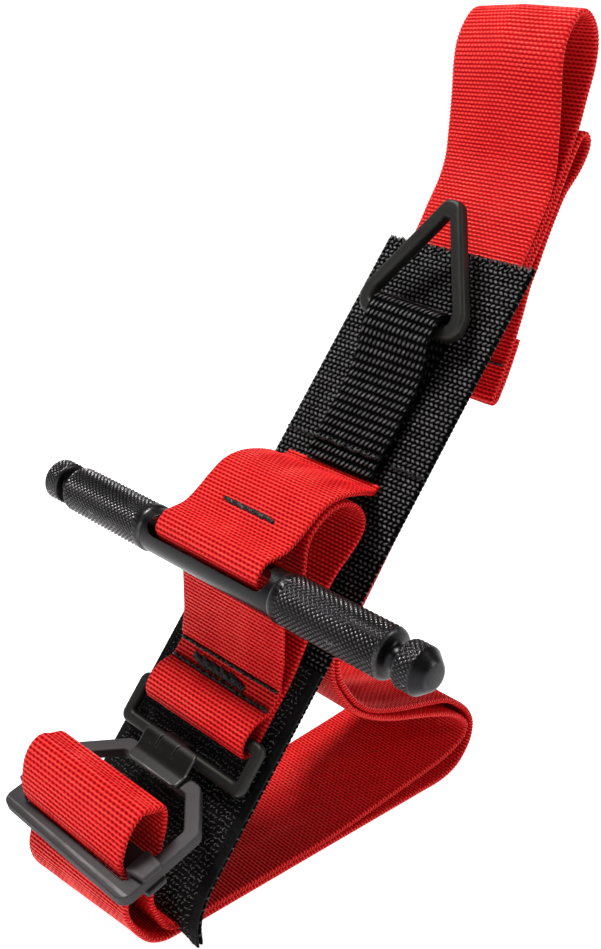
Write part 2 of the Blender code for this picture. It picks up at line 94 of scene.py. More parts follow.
def smooth(points, steps=10):
    """Centripetal Catmull-Rom curve through the points."""
    k = np.asarray(points, float)
    k = np.vstack([2 * k[0] - k[1], k, 2 * k[-1] - k[-2]])
    out = []
    for p0, p1, p2, p3 in zip(k, k[1:], k[2:], k[3:]):
        t1 = np.linalg.norm(p1 - p0) ** 0.5
        t2 = t1 + np.linalg.norm(p2 - p1) ** 0.5
        t3 = t2 + np.linalg.norm(p3 - p2) ** 0.5
        t = np.linspace(t1, t2, steps, endpoint=False)[:, None]
        a1 = p0 * (t1 - t) / t1 + p1 * t / t1
        a2 = p1 * (t2 - t) / (t2 - t1) + p2 * (t - t1) / (t2 - t1)
        a3 = p2 * (t3 - t) / (t3 - t2) + p3 * (t - t2) / (t3 - t2)
        b1 = a1 * (t2 - t) / t2 + a2 * t / t2
        b2 = a2 * (t3 - t) / (t3 - t1) + a3 * (t - t1) / (t3 - t1)
        out.append(b1 * (t2 - t) / (t2 - t1) + b2 * (t - t1) / (t2 - t1))
    return np.vstack(out + [k[-2:-1]])


def lengths(path):
    return np.concatenate([[0], np.cumsum(np.linalg.norm(np.diff(path, axis=0), axis=1))])


def sampled(path, where):
    """The path's (y, z) at lengths along it in metres."""
    s = lengths(path)
    return np.stack([np.interp(where, s, path[:, k]) for k in (0, 1)], 1)


def nearest(path, place):
    """Index of the path's point nearest to a world (y, z) place."""
    return int(np.linalg.norm(path - place, axis=1).argmin())


# -------- meshes

def add_object(name, data):
    obj = bpy.data.objects.new(name, data)
    bpy.context.scene.collection.objects.link(obj)
    return obj


def new_object(name, verts, faces, material, sharp=None):
    mesh = bpy.data.meshes.new(name)
    mesh.from_pydata(verts, [], faces)
    obj = add_object(name, mesh)
    mesh.materials.append(material)
    mesh.shade_smooth()
    if sharp is not None:
        mesh.set_sharp_from_angle(angle=math.radians(sharp))
    return obj


def ring_quads(rows, count):
    """Quads that join each closed ring of points to the next one."""
    i, j = np.meshgrid(np.arange(rows - 1), np.arange(count), indexing="ij")
    k = (j + 1) % count
    corners = (i * count + j, i * count + k, (i + 1) * count + k, (i + 1) * count + j)
    return np.stack(corners, -1).reshape(-1, 4)


def sheet(x, yz):
    """A grid of points, from x in mm for each row and column and (y, z) in metres for each row."""
    columns = x.shape[1]
    return np.dstack([x * MM, np.repeat(yz[:, :1], columns, 1), np.repeat(yz[:, 1:], columns, 1)])


def normals_of(grid):
    normal = np.cross(np.gradient(grid, axis=1), np.gradient(grid, axis=0))
    return normal / np.linalg.norm(normal, axis=2, keepdims=True)


def rib_relief(u, v, side):
    """Cross ribs of the red webbing, a little uneven, half a pitch out on the other face."""
    wander = 0.08 * np.sin(u * 0.31 + v * 0.05) + 0.05 * np.sin(u * 0.83 + 1.3)
    phase = 2 * np.pi * (v / RIB + wander) + (0 if side > 0 else np.pi)
    return 0.085 * np.cos(phase)


def chain_relief(u, v, side, pitch=ROW, yarn=FLOAT, high=0.42, flip=1.1, slope=0.55):
    """Rows of slanting yarn floats, each next row leaning the other way where flip is 1.1."""
    row = np.floor(v / pitch)
    b = v / pitch - row - 0.5
    a = u / yarn + (slope - row % 2 * flip) * b + 0.25 * (row % 2)
    ridge = np.cos(np.pi * b) ** 0.8
    bead = np.abs(np.cos(np.pi * a)) ** 0.7
    return high * (ridge * (0.25 + 0.75 * bead) - 0.48)


def holder_relief(u, v, side):
    return chain_relief(u, v, side, HOLDER_ROW, HOLDER_FLOAT, 0.38, 0.0, HOLDER_SLOPE)


# -------- materials

class Look:
    """A node material with short ways to add its nodes."""

    def __init__(self, name):
        self.material = bpy.data.materials.new(name)
        self.material.use_nodes = True
        self.tree = self.material.node_tree
        self.shader = self.tree.nodes["Principled BSDF"]

    def node(self, kind, **settings):
        node = self.tree.nodes.new("ShaderNode" + kind)
        for key, value in settings.items():
            setattr(node, key, value)
        return node

    def feed(self, socket, value):
        if hasattr(value, "is_linked"):
            self.tree.links.new(value, socket)
        elif value is not None:
            socket.default_value = value

    def math(self, operation, a, b=None, c=None):
        node = self.node("Math", operation=operation)
        for socket, value in zip(node.inputs, (a, b, c)):
            self.feed(socket, value)
        return node.outputs[0]

    def times(self, a, b):
        return self.math("MULTIPLY", a, b)

    def scaled(self, a, by, plus):
        return self.math("MULTIPLY_ADD", a, by, plus)

    def weave(self):
        return self.node("Attribute", attribute_name="weave").outputs["Vector"]

    def split(self, vector):
        node = self.node("SeparateXYZ")
        self.feed(node.inputs[0], vector)
        return node.outputs

    def join(self, x, y, z):
        node = self.node("CombineXYZ")
        for socket, value in zip(node.inputs, (x, y, z)):
            self.feed(socket, value)
        return node.outputs[0]

    def noise(self, vector, scale, detail=2.0, rough=0.5):
        node = self.node("TexNoise")
        self.feed(node.inputs["Vector"], vector)
        node.inputs["Scale"].default_value = scale
        node.inputs["Detail"].default_value = detail
        node.inputs["Roughness"].default_value = rough
        return node.outputs["Fac"]

    def place(self):
        return self.node("TexCoord").outputs["Object"]

    def ramp(self, value, stops):
        node = self.node("ValToRGB")
        self.feed(node.inputs[0], value)
        elements = node.color_ramp.elements
        while len(elements) < len(stops):
            elements.new(0.5)
        for element, (at, color) in zip(elements, stops):
            element.position = at
            element.color = (*color, 1.0)
        return node.outputs[0]

    def spread(self, value, low, high, to_low, to_high):
        node = self.node("MapRange")
        for socket, item in zip(node.inputs, (value, low, high, to_low, to_high)):
            self.feed(socket, item)
        return node.outputs[0]

    def tint(self, a, b, share):
        node = self.node("Mix", data_type="RGBA")
        self.feed(node.inputs[0], share)
        self.feed(node.inputs[6], a)
        self.feed(node.inputs[7], b)
        return node.outputs[2]

    def bump(self, height, distance, strength, over=None):
        node = self.node("Bump")
        node.inputs["Strength"].default_value = strength
        node.inputs["Distance"].default_value = distance
        self.feed(node.inputs["Height"], height)
        if over is not None:
            self.feed(node.inputs["Normal"], over)
        return node.outputs[0]

    def set(self, **values):
        for key, value in values.items():
            self.feed(self.shader.inputs[key.replace("_", " ")], value)
        return self.material


def red_webbing_look():
    look = Look("red_webbing")
    u, v, side = look.split(look.weave())
    spot = look.join(u, v, side)
    drift = look.noise(spot, 0.09, 2)
    u2 = look.scaled(look.noise(spot, 0.8, 1), 0.22, u)
    v2 = look.scaled(look.noise(spot, 0.6, 1), 0.16, v)
    turned = look.times(look.math("SUBTRACT", 1.0, side), math.pi / 2)
    crest = look.scaled(turned, RIB / math.tau, v2)
    rib = look.scaled(look.math("COSINE", look.times(crest, math.tau / RIB)), 0.5, 0.5)
    odd = look.times(look.math("COSINE", look.times(u2, math.tau / YARN)),
                     look.math("COSINE", look.scaled(v2, math.pi / RIB, turned)))
    odd = look.scaled(odd, 0.5, 0.5)
    hairs = look.noise(look.join(look.times(u, 14.0), look.times(v, 2.2), side), 1.0, 2)
    height = look.scaled(rib, 0.60, look.times(odd, 0.36))
    fine = look.scaled(hairs, 0.18, height)
    level = look.math("ADD", height, look.scaled(drift, 0.16, -0.08))
    # Colour by weave height: painted shade in the valleys, a painted orange highlight on the rib crests; the
    # noise tint below is random fading.
    color = look.ramp(level, [(0.06, (0.13, 0.0014, 0.003)), (0.30, (0.42, 0.005, 0.008)),
                              (0.62, (0.76, 0.010, 0.018)), (0.93, (0.90, 0.030, 0.024))])
    painted_shade_and_fade = look.tint(color, (0.88, 0.030, 0.020, 1), look.times(look.noise(spot, 2.6, 3), 0.20))
    rough = look.spread(hairs, 0.3, 0.7, 0.30, 0.50)
    return look.set(Base_Color=painted_shade_and_fade, Roughness=rough, Normal=look.bump(fine, 0.00034, 0.95),
                    Specular_IOR_Level=look.spread(level, 0.50, 0.95, 0.01, 0.85),
                    Specular_Tint=(1.0, 0.74, 0.50, 1))


def black_webbing_look(name, pitch, yarn, lift, flip, slope, half):
    """Rows of slanting floats, as in chain_relief, finer than the mesh holds, with painted shade in the
    crevices and along the edges and a painted highlight on the float tops.
    """
    look = Look(name)

    def swell(value):
        wave = look.math("COSINE", look.times(value, math.pi))
        return look.math("POWER", look.math("ABSOLUTE", wave), 0.8)

    u, v, side = look.split(look.weave())
    spot = look.join(u, v, side)
    u2 = look.scaled(look.noise(spot, 0.9, 1), 0.30, u)
    turns = look.math("DIVIDE", v, pitch)
    row = look.math("FLOOR", turns)
    b = look.math("SUBTRACT", look.math("SUBTRACT", turns, row), 0.5)
    parity = look.math("FLOORED_MODULO", row, 2.0)
    slant = look.times(look.scaled(parity, -flip, slope), b)
    a = look.math("ADD", look.scaled(u2, 1 / yarn, slant), look.times(parity, 0.25))
    level = look.times(swell(b), look.scaled(swell(a), 0.85, 0.15))
    hairs = look.noise(look.join(look.times(u, 4.0), look.times(v, 10.0), side), 1.0, 2)
    patch = look.noise(spot, 0.30, 2)
    # Weave height with random patches and a darker lift; the ramp below makes it painted shade in the
    # crevices and a painted highlight on the float tops.
    wear_and_painted_light = look.math("ADD", level, look.scaled(patch, 0.40, lift))
    # Painted shade along the selvages: the level drops there, darkening the colour and dimming the
    # highlights.
    face = look.spread(look.math("ABSOLUTE", u), half - 0.8, half - 0.2, 0.0, 0.35)
    wear_and_painted_light = look.math("SUBTRACT", wear_and_painted_light, face)
    color = look.ramp(wear_and_painted_light, [(0.25, (0.0010, 0.0010, 0.0012)), (0.55, (0.004, 0.004, 0.0045)),
                             (0.80, (0.018, 0.0178, 0.0195)), (1.0, (0.100, 0.097, 0.104))])
    rough = look.spread(hairs, 0.3, 0.7, 0.20, 0.42)
    fine = look.scaled(hairs, 0.45, level)
    return look.set(Base_Color=color, Roughness=rough, Normal=look.bump(fine, 0.00040, 0.9),
                    Specular_IOR_Level=look.spread(wear_and_painted_light, 0.45, 0.90, 0.01, 1.0),
                    Specular_Tint=(0.98, 0.97, 1.0, 1))


def pile_look(name, dark, light, gloss):
    look = Look(name)
    where = look.place()
    clumps = look.noise(where, 900, 3)
    coarse = look.noise(where, 160, 2)
    color = look.ramp(look.scaled(coarse, 0.35, look.times(clumps, 0.7)),
                      [(0.38, dark), (0.68, light)])
    return look.set(Base_Color=color, Roughness=look.spread(clumps, 0.3, 0.7, 0.45, 0.8),
                    Normal=look.bump(clumps, 0.0004, 0.8), Specular_IOR_Level=gloss)


METAL_GRAIN = 2000.0
METALLIC = 0.85


def metal_look(name, dark, mid, light, rough, wear_and_painted_light):
    """Coated metal with fine grain, faint clouding, and lighter edges that are partly wear and partly a
    painted highlight.
    """
    look = Look(name)
    where = look.place()
    cloud = look.noise(where, 24, 3, 0.5)
    specks = look.noise(where, METAL_GRAIN, 3, 0.6)
    scuffs = look.noise(look.join(*[look.times(p, k) for p, k in
                                    zip(look.split(where), (140.0, 900.0, 420.0))]), 1.0, 3, 0.7)
    body = look.ramp(look.scaled(specks, 0.35, look.times(cloud, 0.65)),
                     [(0.30, dark), (0.70, mid)])
    # Lighter along sharp edges, by pointiness and scuffs: partly edge wear, partly a painted highlight.
    edge = look.spread(look.node("NewGeometry").outputs["Pointiness"], 0.515, 0.60, 0.0, 1.0)
    edge_wear_and_highlight = look.times(edge, look.spread(scuffs, 0.35, 0.60, 0.35, 1.0))
    scratch = look.times(look.spread(scuffs, 0.68, 0.76, 0.0, 1.0), 0.22)
    share = look.times(look.math("MINIMUM", look.math("ADD", edge_wear_and_highlight, scratch), 1.0), wear_and_painted_light)
    color = look.tint(body, (*light, 1), share)
    roughness = look.math("SUBTRACT", look.spread(specks, 0.3, 0.7, rough - 0.05, rough + 0.08),
                          look.times(share, 0.10))
    fine = look.bump(specks, 0.00003, 0.4)
    return look.set(Base_Color=color, Metallic=METALLIC, Roughness=roughness,
                    Normal=look.bump(scuffs, 0.00002, 0.3, over=fine))


def thread_look():
    look = Look("black_thread")
    where = look.place()
    strands = look.noise(where, 2600, 2)
    color = look.ramp(strands, [(0.35, (0.0012, 0.0012, 0.0015)), (0.70, (0.009, 0.008, 0.009))])
    return look.set(Base_Color=color, Roughness=0.36, Normal=look.bump(strands, 0.00010, 0.8),
                    Specular_IOR_Level=look.spread(strands, 0.40, 0.65, 0.03, 0.80))


def floor_look():
    look = Look("pale_floor")
    cloud = look.noise(look.place(), 3, 2)
    color = look.ramp(cloud, [(0.3, (0.50, 0.50, 0.505)), (0.7, (0.53, 0.53, 0.535))])
    return look.set(Base_Color=color, Roughness=0.8, Specular_IOR_Level=0.0,
                    Emission_Color=(1.0, 1.0, 1.0, 1), Emission_Strength=0.93)


RED = red_webbing_look()
BLACK = black_webbing_look("black_webbing", ROW, FLOAT, -0.20, 1.1, 0.55, BACKING_WIDTH / 2)
FINE_BLACK = black_webbing_look("holder_webbing", HOLDER_ROW, HOLDER_FLOAT, -0.31, 0.0, HOLDER_SLOPE,
                                HOLDER_WIDTH / 2)
PILE = pile_look("loop_pile", (0.0015, 0.0015, 0.002), (0.006, 0.006, 0.007), 0.08)
# The loop yarn is far lighter than the black pile beneath: a painted highlight on the loops and loose fibres.
LOOPS = pile_look("loop_yarn", (0.008, 0.008, 0.0085), (0.12, 0.112, 0.110), 0.70)
RING = metal_look("ring_black", (0.018, 0.018, 0.0165), (0.032, 0.032, 0.029),
                  (0.20, 0.195, 0.19), 0.50, 0.35)
STEEL = metal_look("steel_grey", (0.034, 0.031, 0.033), (0.066, 0.062, 0.065),
                   (0.34, 0.32, 0.33), 0.66, 0.32)
DARK_STEEL = metal_look("hook_steel", (0.012, 0.0115, 0.0115), (0.022, 0.021, 0.021),
                        (0.34, 0.32, 0.31), 0.40, 0.7)
GUN = metal_look("gunmetal", (0.010, 0.010, 0.011), (0.020, 0.019, 0.021),
                 (0.34, 0.32, 0.33), 0.30, 0.6)
THREAD = thread_look()


def dress(obj, body, slot, *nodes):
    """Sets what a piece rides on and stands for; its slot is not used."""
    if body is not None:
        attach(obj, body)
    if nodes:
        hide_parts(*nodes)
    return obj


# -------- camera, light and floor

LENS = 47.4
CAMERA_AT = (0.2074, -0.2102, 0.2204)
CAMERA_AXES = ((0.6952, 0.7161, 0.0618), (-0.3015, 0.2123, 0.9295), (0.6526, -0.6648, 0.3636))


def add_camera():
    data = bpy.data.cameras.new("camera")
    data.lens = LENS
    data.sensor_width = 36
    data.clip_start = 0.01
    camera = add_object("camera", data)
    camera.matrix_world = Matrix.Translation(CAMERA_AT) @ Matrix(CAMERA_AXES).transposed().to_4x4()
    bpy.context.scene.camera = camera


LIGHT_TARGET = (0, 0, 0.10)


def add_area(name, at, size, power, color=(1, 1, 1)):
    data = bpy.data.lights.new(name, "AREA")
    data.shape = "RECTANGLE"
    data.size, data.size_y = size
    data.energy = power
    data.color = color
    light = add_object(name, data)
    light.location = at
    light.rotation_euler = (Vector(LIGHT_TARGET) - Vector(at)).to_track_quat("-Z", "Y").to_euler()


def add_studio():
    world = bpy.data.worlds.new("studio")
    world.use_nodes = True
    tree = world.node_tree
    sky = tree.nodes["Background"]
    sky.inputs[0].default_value = (1.0, 1.0, 1.0, 1.0)
    height = tree.nodes.new("ShaderNodeSeparateXYZ")
    fall = tree.nodes.new("ShaderNodeMapRange")
    for socket, value in zip(fall.inputs[1:], (0.08, 0.45, 0.80, 0.10)):
        socket.default_value = value
    tree.links.new(tree.nodes.new("ShaderNodeTexCoord").outputs["Generated"], height.inputs[0])
    tree.links.new(height.outputs[2], fall.inputs[0])
    tree.links.new(fall.outputs[0], sky.inputs[1])
    bpy.context.scene.world = world
    bpy.context.scene.view_settings.view_transform = "Standard"
    add_area("key", (-0.30, -0.10, 0.90), (0.24, 0.24), 10.5, (1.0, 0.985, 0.96))
    add_area("fill", (0.10, -0.85, 0.35), (0.40, 0.30), 0.9)
    add_area("rim", (0.60, 0.35, 0.50), (0.25, 0.35), 1.8)
    add_floor()


def add_floor():
    """A round floor, flat in the middle and curling up all round."""
    flat, curl, sides = 12, 28, 96
    bend = np.linspace(0, np.pi / 2, curl)
    reach = np.concatenate([np.linspace(0.0, 2.4, flat), 2.4 + 0.8 * np.sin(bend)])
    rise = np.concatenate([np.zeros(flat), 0.4 * (1 - np.cos(bend))])
    turn = np.linspace(0, 2 * np.pi, sides, endpoint=False)
    verts = [(r * math.cos(a), r * math.sin(a), h) for r, h in zip(reach[1:], rise[1:]) for a in turn]
    verts.append((0.0, 0.0, 0.0))
    faces = ring_quads(flat + curl - 1, sides)[:, [0, 3, 2, 1]].tolist()
    faces += [(len(verts) - 1, j, (j + 1) % sides) for j in range(sides)]
    floor = new_object("floor", verts, faces, floor_look())
    floor.data.shade_flat()
    floor.location.z = -0.0002


# -------- webbing

ACROSS = np.array([MM, 0, 0])                                 # 1 mm across the backing
UP = np.array([0, math.cos(LEAN), math.sin(LEAN)]) * MM       # 1 mm along the backing
OUT = np.array([0, -math.sin(LEAN), math.cos(LEAN)]) * MM     # 1 mm off its front face


def band(name, path, material, relief, width=STRAP_WIDTH, thick=WEB, spacing=1.6,
         step=RIB / 4, wave=0.10, period=RIB, warp=None, cuts=(), names=()):
    """Closed bands of webbing along a path of world (y, z) points, cut across at the cuts.

    relief(u, v, side) is the weave's height in mm at u across and v along the path, and
    warp(grid, x, v) moves the band's middle surface. Returns one object for each length."""
    whole = lengths(path)[-1]
    rows = max(2, round(whole / (step * MM))) + 1
    t = np.linspace(0, whole, rows)
    yz = sampled(path, t)
    v = t / MM
    half = width / 2
    rim = np.array([0, 0.10, 0.32, 0.70, 1.25]) * thick / WEB
    inner = half - rim[-1]
    count = max(3, round(2 * inner / spacing) + 1)
    x = np.concatenate([-half + rim[:-1], np.linspace(-inner, inner, count), (half - rim[:-1])[::-1]])
    round_off = np.clip(1 - (half - np.abs(x)) / (thick / 2), 0, 1)
    cross = np.sqrt(1 - round_off ** 2)
    columns = len(x)
    selvage = np.clip(np.abs(x) / half * 8 - 7, 0, 1) * np.sign(x)
    xs = x[None, :] + wave * np.cos(2 * np.pi * v / period)[:, None] * selvage[None, :]
    grid = sheet(xs, yz)
    if warp is not None:
        grid = warp(grid, x[None, :], v[:, None])
    normal = normals_of(grid)
    u = np.broadcast_to(x[None, :], xs.shape)
    vv = np.broadcast_to(v[:, None], xs.shape)
    faces = [grid + side * normal * ((thick / 2 + relief(u, vv, side)) * cross * MM)[..., None]
             for side in (1, -1)]
    back = slice(columns - 2, 0, -1)
    ring = np.concatenate([faces[0], faces[1][:, back]], 1)
    weave = np.concatenate([np.dstack([u, vv, np.full_like(xs, side)])[:, part]
                            for side, part in ((1.0, slice(None)), (-1.0, back))], 1)
    marks = [0] + [nearest(yz, place) for place in cuts] + [rows - 1]
    return [ring_band(label, ring[a:b + 1], weave[a:b + 1], columns, material)
            for label, a, b in zip(names or [name], marks, marks[1:])]


def ring_band(name, ring, weave, columns, material):
    """One closed length of a band, from its cross-sections."""
    rows, count = ring.shape[:2]
    front = np.arange(columns)
    rear = np.concatenate([[0], np.arange(count - 1, columns - 1, -1), [columns - 1]])
    cap = np.stack([front[:-1], rear[:-1], rear[1:], front[1:]], 1)
    faces = ring_quads(rows, count).tolist()
    for face in cap.tolist():
        faces.append(list(dict.fromkeys(face)))
        faces.append([n + (rows - 1) * count for n in reversed(faces[-1])])
    obj = new_object(name, ring.reshape(-1, 3), faces, material, sharp=62)
    obj.data.attributes.new("weave", "FLOAT_VECTOR", "POINT").data.foreach_set(
        "vector", weave.astype(np.float32).ravel())
    return obj


def build_top_loop():
    front = [(130, -3.05), (160, -3.05), (186, -3.05), (195, -2.3), (200.5, -1.35), (208.7, 0.1),
             (214.5, 2.7), (220, 7.3), (227.3, 14.2), (233.3, 20.2)]
    crown = [(237.7, 23.3), (242.3, 24.5), (246.6, 24.1), (248.9, 22.3), (249.7, 19.2), (248.9, 15.2)]
    rear = [(246.4, 11.7), (241.8, 8.6), (235.5, 6.0), (228.5, 3.1), (220, 0.6), (214, -0.7),
            (208, -2.1), (200.5, -3.6), (195, -4.3), (188, -4.95), (175, -5.1), (151, -5.7)]
    path = smooth(backing_at(front + crown + rear))

    def twist(grid, x, v):
        crest = np.exp(-((v - 125) / 38) ** 2)
        pull = np.clip(-x / HALF_STRAP, 0, 1)
        grid[..., 0] += crest * pull * 2.6 * MM
        return grid - (crest * pull * 2.2)[..., None] * OUT

    obj, = band("strap_top_loop_weave", path, RED, rib_relief, warp=twist)
    dress(obj, "root", "red_webbing", "strap_top_loop")


INNER_REAR = [(150.6, -5.71), (120, -7.0), (93, -8.3), (84.5, -8.3)]
INNER_LOOP = [(53.5, 60.2), (54.5, 53.6), (58.2, 47.4), (62.6, 42.2), (67.5, 38.3), (72.9, 35.3),
              (81.2, 31.8), (89.4, 29.2), (98, 26.4), (106.3, 23.2), (112.4, 19.6), (115.4, 16.0),
              (115.0, 13.0), (112.0, 10.6), (106.3, 8.6), (98.2, 7.3), (90, 6.3), (82, 5.4),
              (66, 3.6), (54, 2.7), (44, 2.55), (20, 2.55), (10, 2.55), (4.6, 2.7), (1.2, 4.4),
              (-0.6, 7.2), (-2.9, 11.6), (-4.0, 15.0)]
TURN = [(10.0, 11.9), (14.5, 13.9), (20.1, 16.65), (23.9, 18.5), (27.2, 21.1), (27.8, 22.9),
        (26.4, 25.2), (25.3, 27.6), (22.9, 28.85), (19.4, 28.95), (15.6, 27.7), (12.9, 26.2),
        (11.3, 23.7), (9.4, 21.2), (7.0, 18.7)]
OUTER_LOOP = [(-11.4, 19.0), (-11.3, 14.8), (-9.4, 10.4), (-6.9, 6.6), (-3.6, 3.1), (0.6, 1.2),
              (6.0, 0.85), (14.0, 0.85), (22.0, 0.85), (60, 0.85), (92, 0.85), (98, 0.85),
              (104, 0.85), (109.0, 1.6), (113.4, 3.7), (116.6, 7.3), (118.2, 11.3), (118.0, 16.2),
              (115.2, 20.9), (110.4, 25.1), (104.4, 28.7), (97.0, 30.9), (88.8, 32.8), (80.8, 34.9),
              (72.9, 37.6), (68.2, 40.2), (63.7, 44.0), (60.0, 48.6), (56.6, 54.0), (55.5, 60.0)]
OUTER_REAR = [(84.5, -10.3), (93, -10.4), (120, -9.1), (150.6, -7.75)]


def build_strap():
    """The strap from the rear seam round the limb loop, through the buckle and back."""
    path = smooth(np.vstack([backing_at(INNER_REAR), ground_at(INNER_LOOP), backing_at(TURN),
                             ground_at(OUTER_LOOP), backing_at(OUTER_REAR)]))
    places = np.vstack([ground_at([(92, 6.5), (4.6, 2.7)]), backing_at([(9.0, 11.6), (7.0, 18.7)]),
                        ground_at([(6, 0.85), (92, 0.85)])])
    s = lengths(path)
    crest = s[nearest(path, backing_at([(24.0, 28.5)])[0])] / MM
    foot = s[nearest(path, ground_at([(-8.5, 8.5)])[0])] / MM

    def skew(grid, x, v):
        left = np.clip(0.45 - x / HALF_STRAP * 0.55, 0, 1)
        swell = np.exp(-((v - crest) / 14) ** 2)
        roll = swell * left
        grid[..., 0] += swell * (x * 0.05 - 0.7) * MM
        grid = grid + (roll * 2.6)[..., None] * OUT + (swell * 1.5)[..., None] * UP
        grid[..., 1] -= np.exp(-((v - foot) / 10) ** 2) * left * 3.2 * MM
        return grid

    names = ("strap_inner_run_weave", "strap_inner_foot", "strap_inner_lead", "strap_buckle_turn_weave",
             "strap_outer_lead", "strap_outer_foot", "strap_outer_run_weave")
    inner_run, inner_foot, inner_lead, turn, outer_lead, outer_foot, outer_run = band(
        "strap", path, RED, rib_relief, warp=skew, cuts=places, names=names)
    dress(inner_run, "root", "red_webbing", "strap_inner_run")
    dress(turn, "buckle", "red_webbing", "strap_buckle_turn")
    dress(outer_run, "root", "red_webbing", "strap_outer_run")
    far, middle, near_end = ((0, *p) for p in ground_at([(46, 2), (6, 2), (-4, 12)]))
    for pieces, bodies, start, end in (((inner_foot, outer_foot), ("root", "link"), far, middle),
                                       ((inner_lead, outer_lead), ("link", "buckle"), middle, near_end)):
        for piece in pieces:
            dress(piece, None, "red_webbing")
            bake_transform(piece)


def build_tail():
    rise = [(151, -7.73), (175, -7.0), (188, -6.9), (195, -6.3), (200.5, -5.6), (208, -4.1),
            (214, -2.7), (220, -1.4), (225, -0.6)]
    fold = [(228.0, -0.6), (229.3, -2.0), (228.9, -4.2), (226.6, -5.6), (221, -6.2)]
    drop = [(213.5, -5.4), (207, -6.3), (200.3, -7.7), (193.1, -9.6), (188.4, -10.6),
            (180.6, -13.7), (174, -16.0), (167.4, -18.0), (161.6, -19.4), (158.6, -19.7)]
    hem = [(157.3, -20.6), (158.2, -21.6), (162.2, -21.2), (168, -19.9), (175.5, -17.7)]
    path = smooth(backing_at(rise + fold + drop + hem))
    obj, = band("strap_tail_weave", path, RED, rib_relief)
    dress(obj, "root", "red_webbing", "strap_tail")
    return path


FLAP = [(121.4, 0.4), (119.6, 1.3), (118.5, 4.0), (117.9, 7.6), (115.9, 13.0), (113.1, 17.8),
        (109.2, 21.4), (104.5, 23.2), (99.5, 24.6), (95.0, 26.4), (92.0, 29.2)]
IN_SLOT = [(90.3, 30.8), (88.0, 31.4), (85.9, 31.0), (84.8, 29.6), (84.3, 27.8), (83.9, 25.5),
           (83.4, 22.5), (82.6, 19.2)]
FRONT = [(80.9, 16.3), (78.0, 13.6), (74.4, 10.6), (70.8, 7.6), (67.6, 5.6), (65.4, 4.2), (64.2, 3.0),
         (61.0, 2.75), (58.2, 2.95), (56.9, 4.2), (54.9, 5.8), (52.6, 6.6), (50.2, 6.8)]
LINK_LOOP = [(47.6, 6.0), (46.2, 3.9), (47.6, 1.9), (50.4, 1.5), (55, 1.5), (60.0, 1.5), (67, 1.5)]
BEHIND = [(75.5, 2.8), (85, 4.8), (93, 5.9), (97.1, 5.6), (102, 4.6), (106.5, 4.0)]
FOLD = [(109.9, 4.5), (112.2, 6.6), (113.2, 10.1), (112.7, 13.7), (111.0, 16.8),
        (108.2, 19.1), (104.6, 20.5), (100.6, 21.0), (96.5, 19.4), (92.4, 16.6)]


def build_windlass_band():
    """The band that the windlass twists: flap, run down its slot, loop and folded end."""
    path = smooth(backing_at(FLAP + IN_SLOT + FRONT + LINK_LOOP + BEHIND + FOLD))
    places = backing_at([(84.0, 26.0), (46.2, 3.9), (109.9, 4.5)])

    def gathered(grid, x, v):
        grid[..., 0] -= 4.8 * MM * np.exp(-(v / 8) ** 2) * np.clip(x / HALF_STRAP, 0, 1)
        return grid

    flap, front, back, fold = band("band", path, RED, rib_relief, thick=THIN_WEB, cuts=places, warp=gathered,
                                   names=("band_flap", "band_front", "band_behind", "band_fold"))
    dress(flap, None, "red_webbing", "windlass_band")
    bend_flap(flap)
    dress(front, None, "red_webbing")
    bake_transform(front)
    dress(back, "root", "red_webbing")
    dress(fold, None, "red_webbing")
    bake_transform(fold)
    return path


def bend_flap(obj):
    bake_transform(obj)


def frayed(grid, x, v):
    """A cut end, its last few millimetres uneven."""
    jag = 0.45 * np.sin(x * 2.1) + 0.35 * np.sin(x * 4.7 + 1.0) + 0.25 * np.sin(x * 9.1 + 2.0)
    near_end = np.clip((v - v.max() + 4) / 4, 0, 1)
    return grid + (near_end * jag)[..., None] * UP


def build_backing():
    path = smooth(backing_at([(3.7, -4.4), (6.6, -2.3), (11, -1.35)]
                             + [(y, BACKING_Z) for y in (18, 50, 100, 150, 188.5)]))

    def droop(grid, x, v):
        low = np.clip(1 - v / 14, 0, 1) ** 2 * (x / (BACKING_WIDTH / 2)) ** 2
        return frayed(grid, x, v) - (low * 2.7)[..., None] * UP - (low * 3.6)[..., None] * OUT

    lower, upper = band("backing", path, BLACK, chain_relief, width=BACKING_WIDTH, spacing=0.40,
                        step=ROW / 4, wave=0.16, period=ROW, warp=droop, cuts=backing_at([(73.0, BACKING_Z)]),
                        names=("backing_lower_weave", "backing_upper_weave"))
    dress(lower, "root", "black_webbing", "backing_webbing")
    dress(upper, "root", "black_webbing")


def build_panel():
    path = smooth(backing_at([(2.9, -3.1), (6.0, -0.9), (10.6, 0.1), (18, 0.2), (50, 0.2), (73, 0.2)]))

    def droop(grid, x, v):
        low = np.clip(1 - v / 14, 0, 1) ** 2 * (x / (PANEL_WIDTH / 2)) ** 2
        return grid - (low * 2.7)[..., None] * UP - (low * 3.9)[..., None] * OUT

    def nap(u, v, side):
        ridge = np.exp(-((np.abs(u) - 23.6) / 0.35) ** 2) * 0.22
        ground = 0.09 * np.cos(2 * np.pi * v / 1.1) * np.cos(2 * np.pi * u / 1.2)
        return ridge + ground * (np.abs(u) < 23.2)

    panel, = band("pile_panel", path, PILE, nap, width=PANEL_WIDTH, thick=0.8, spacing=0.5, step=0.4,
                  wave=0.05, warp=droop)
    dress(panel, "root", "loop_pile", "loop_panel")
    scatter_loops(path, droop)


